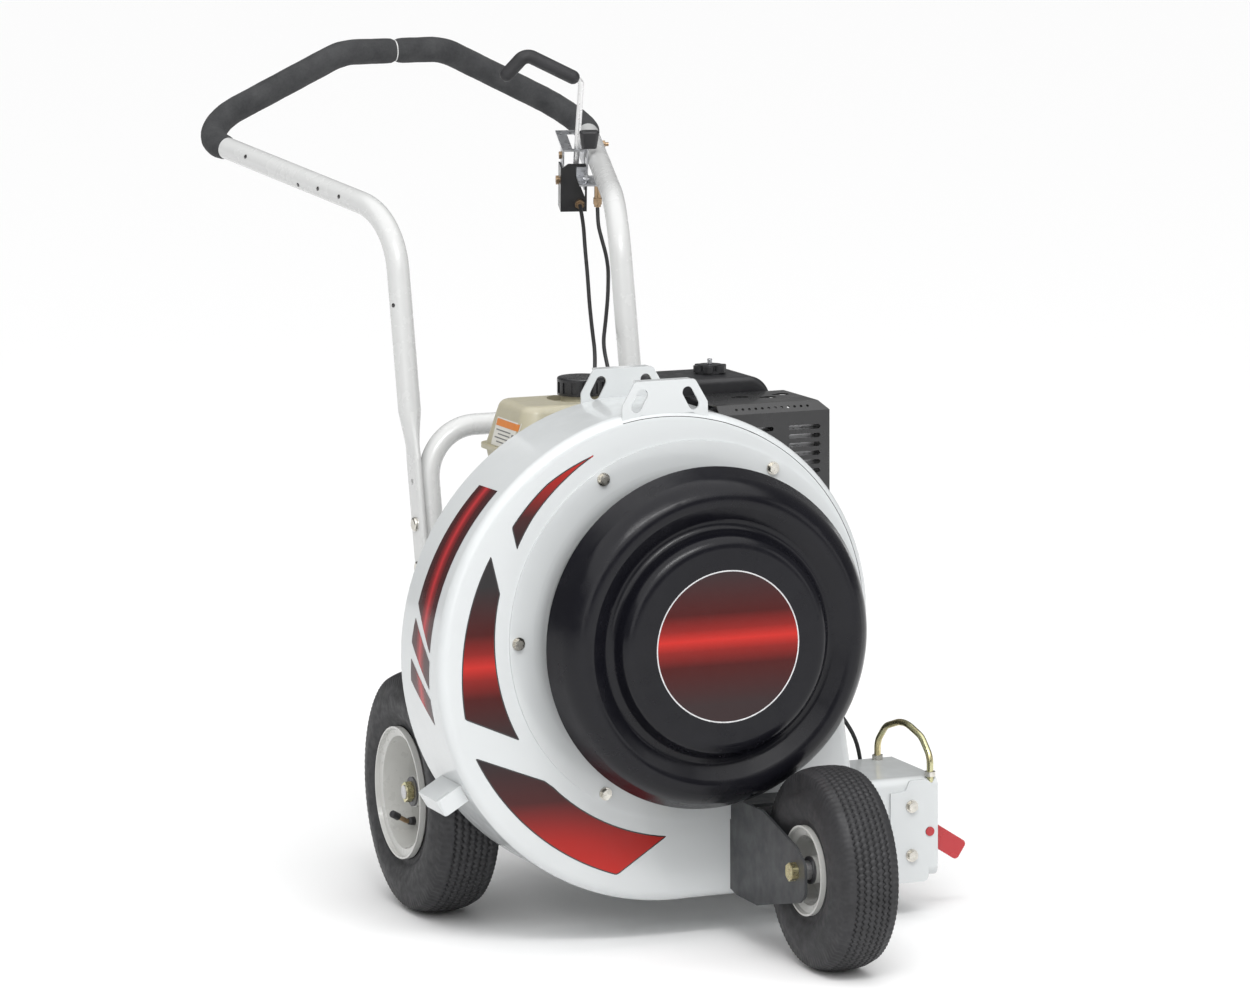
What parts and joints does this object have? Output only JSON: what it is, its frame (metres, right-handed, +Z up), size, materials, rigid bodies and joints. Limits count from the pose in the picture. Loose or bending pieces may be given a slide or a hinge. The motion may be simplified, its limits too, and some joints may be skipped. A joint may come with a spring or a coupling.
{
  "type": "walk behind leaf blower",
  "caption": "Walk-behind leaf blower: engine-driven scroll fan with a domed inlet and side outlet, on three wheels, with a looped push handle, throttle and outlet vane lever.",
  "frame": {"origin": "middle of the footprint on the ground", "axes": "+Z up, the fan dome and front wheel face -Y, the operator and handle are at +Y, the air outlet points to +X"},
  "size_m": [0.7531, 1.4894, 1.1229],
  "materials": {
    "housing_paint": "gloss",
    "black_paint": "gloss",
    "fork_paint": "satin",
    "bracket_paint": "satin",
    "red_paint": "gloss",
    "rotor_paint": "satin",
    "rim_paint": "gloss",
    "zinc": "satin",
    "yellow_zinc": "satin",
    "steel": "satin",
    "engine_aluminium": "satin",
    "cast_iron": "rough",
    "tyre": "matte",
    "tank_plastic": "gloss",
    "black_plastic": "satin",
    "foam": "matte",
    "cable_jacket": "satin"
  },
  "bodies": {
    "chassis": {"scroll_housing": "housing_paint", "back_plate": "housing_paint", "inlet_ring": "housing_paint", "inlet_guard": "zinc", "inlet_dome": "black_paint", "inlet_fasteners": "yellow_zinc", "rear_axle": "steel", "axle_collars": "steel", "axle_nuts": "steel", "front_fork": "fork_paint", "front_axle": "zinc", "lift_brackets": "housing_paint", "tie_down_bracket": "housing_paint", "outlet_side_plate": "housing_paint", "housing_fasteners": "yellow_zinc", "outlet_hoop": "yellow_zinc", "engine_deck": "housing_paint", "engine_bolts": "steel", "hoop_frame": "housing_paint", "handle": "housing_paint", "handle_fasteners": "zinc", "foam_grip": "foam", "crankcase": "engine_aluminium", "cylinder": "engine_aluminium", "fan_cover": "black_plastic", "recoil_cover": "black_plastic", "fuel_tank": "tank_plastic", "air_cleaner_base": "black_plastic", "air_cleaner_cover": "black_plastic", "carburetor": "engine_aluminium", "muffler": "steel", "muffler_shield": "black_paint", "control_bracket": "zinc", "cable_bracket": "bracket_paint", "control_fasteners": "zinc", "throttle_base": "zinc", "deflector_cable": "cable_jacket", "throttle_cable": "cable_jacket"},
    "rear_wheel_left": {"rear_tyre_left": "tyre", "rear_rim_left": "rim_paint", "rear_bearings_left": "yellow_zinc"},
    "rear_wheel_right": {"rear_tyre_right": "tyre", "rear_rim_right": "rim_paint", "rear_bearings_right": "yellow_zinc"},
    "front_wheel": {"front_tyre": "tyre", "front_rim": "rim_paint", "front_bearings": "yellow_zinc"},
    "rotor": {"impeller": "rotor_paint", "impeller_bolt": "steel", "crankshaft": "steel", "flywheel": "cast_iron"},
    "deflector_hand_lever": {"deflector_lever": "zinc", "lever_grip": "black_plastic"},
    "outlet_vane": {"stream_vane": "red_paint"},
    "throttle_hand_lever": {"throttle_lever": "zinc", "throttle_knob": "black_plastic"},
    "starter_pull": {"starter_grip": "black_plastic"},
    "filler_cap": {"fuel_cap": "black_plastic"},
    "cleaner_knob": {"air_cleaner_knob": "black_plastic"},
    "stop_switch": {"engine_switch": "black_plastic"}
  },
  "joints": [
    {"name": "rear_wheel_left_spin", "type": "hinge", "parent": "chassis", "child": "rear_wheel_left", "pos_m": [-0.27445, -0.08625, 0.165], "axis": [1, 0, 0], "continuous": true},
    {"name": "rear_wheel_right_spin", "type": "hinge", "parent": "chassis", "child": "rear_wheel_right", "pos_m": [0.21495, -0.08625, 0.165], "axis": [1, 0, 0], "continuous": true},
    {"name": "front_wheel_spin", "type": "hinge", "parent": "chassis", "child": "front_wheel", "pos_m": [0.08025, -0.61225, 0.1325], "axis": [1, 0, 0], "continuous": true},
    {"name": "rotor_spin", "type": "hinge", "parent": "chassis", "child": "rotor", "pos_m": [-0.02975, -0.27125, 0.4165], "axis": [0, 1, 0], "continuous": true},
    {"name": "deflector_lever_swing", "type": "hinge", "parent": "chassis", "child": "deflector_hand_lever", "pos_m": [0.1928, 0.54748, 0.91814], "axis": [-0.9602, 0.2794, 0], "range_deg": [0, 50]},
    {"name": "vane_turn", "type": "hinge", "parent": "chassis", "child": "outlet_vane", "pos_m": [0.31925, -0.33125, 0.118], "axis": [0, 1, 0], "range_deg": [0, 25]},
    {"name": "throttle_swing", "type": "hinge", "parent": "chassis", "child": "throttle_hand_lever", "pos_m": [0.18968, 0.4924, 0.92437], "axis": [-0.9602, 0.2794, 0], "range_deg": [-20, 0]},
    {"name": "starter_pull_out", "type": "slide", "parent": "chassis", "child": "starter_pull", "axis": [-1, 0, 0], "range_m": [0, 0.02]},
    {"name": "filler_cap_turn", "type": "hinge", "parent": "chassis", "child": "filler_cap", "pos_m": [-0.05975, -0.10525, 0.7], "axis": [0, 0, 1], "range_deg": [0, 90]},
    {"name": "cleaner_knob_turn", "type": "hinge", "parent": "chassis", "child": "cleaner_knob", "pos_m": [0.17025, -0.00625, 0.7], "axis": [0, 0, 1], "continuous": true},
    {"name": "stop_switch_turn", "type": "hinge", "parent": "chassis", "child": "stop_switch", "pos_m": [0.03425, 0.04295, 0.532], "axis": [0, 1, 0], "range_deg": [0, 30]}
  ],
  "couplings": [
    {"joint": "vane_turn", "follows": "deflector_lever_swing", "ratio": 0.5}
  ]
}
